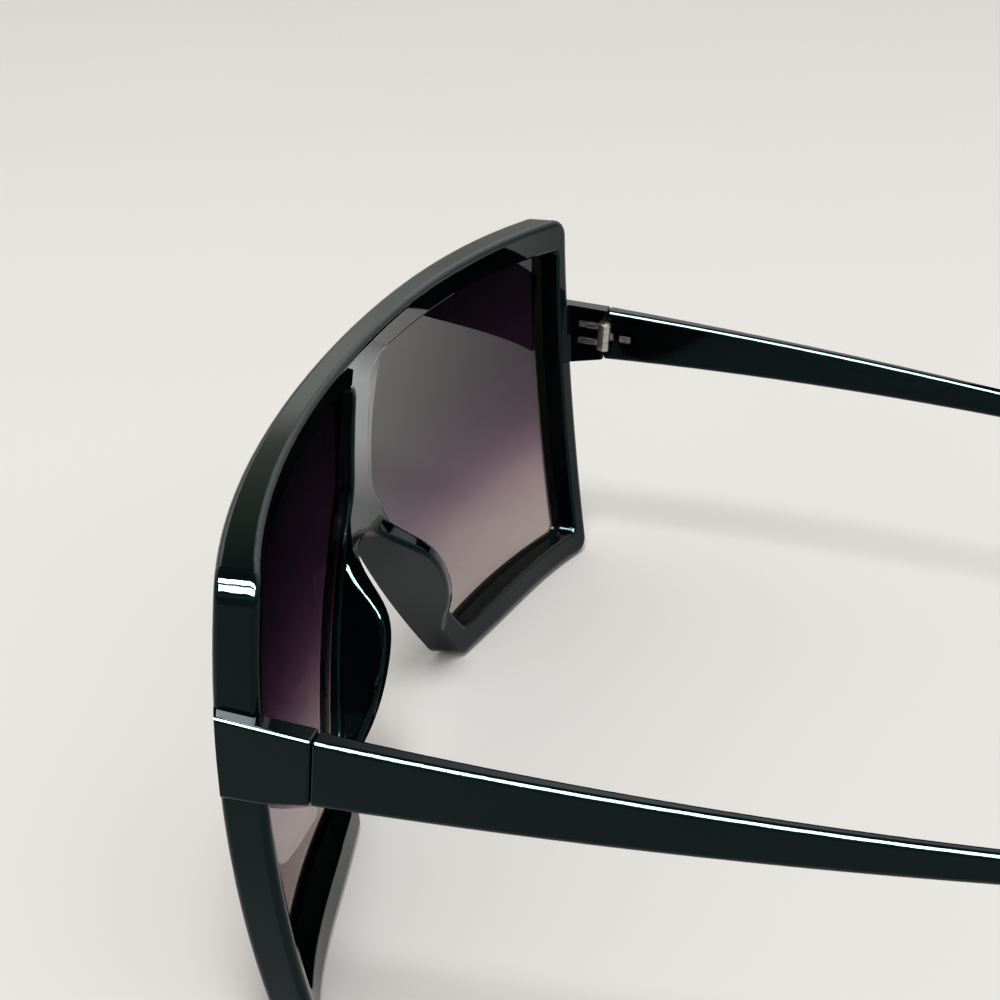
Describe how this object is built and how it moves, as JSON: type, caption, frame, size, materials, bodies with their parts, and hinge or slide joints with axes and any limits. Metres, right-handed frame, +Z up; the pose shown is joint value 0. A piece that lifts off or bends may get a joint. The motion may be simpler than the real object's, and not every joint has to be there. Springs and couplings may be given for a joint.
{
  "type": "sunglasses",
  "caption": "Oversized sunglasses with a curved glossy black front, large square gradient lenses, moulded nose pads and side arms that fold on screwed metal hinges.",
  "frame": {"origin": "on the table under the middle of the overall box, with the sunglasses resting open on the bottom of the front and on the two ear tips", "axes": "+X towards the wearer's left, +Y from the front back to the ears, +Z up"},
  "size_m": [0.1512, 0.1646, 0.0697],
  "materials": {
    "black_plastic": "polished black moulding",
    "gradient_lens": "smooth tinted plastic, dark grey at the top fading to pale pink at the bottom",
    "hinge_metal": "bright plated steel"
  },
  "bodies": {
    "front": {"front_frame": "black_plastic", "left_lens": "gradient_lens", "right_lens": "gradient_lens", "left_front_hinge_plate": "hinge_metal", "left_hinge_screw": "hinge_metal", "right_front_hinge_plate": "hinge_metal", "right_hinge_screw": "hinge_metal"},
    "left_arm": {"left_temple": "black_plastic", "left_temple_hinge_plate": "hinge_metal"},
    "right_arm": {"right_temple": "black_plastic", "right_temple_hinge_plate": "hinge_metal"}
  },
  "joints": [
    {"name": "left_fold", "type": "hinge", "parent": "front", "child": "left_arm", "pos_m": [0.07201, -0.05676, 0.044], "axis": [0, 0.1011, 0.9949], "range_deg": [0, 83]},
    {"name": "right_fold", "type": "hinge", "parent": "front", "child": "right_arm", "pos_m": [-0.07201, -0.05676, 0.044], "axis": [0, -0.1011, -0.9949], "range_deg": [0, 77]}
  ]
}
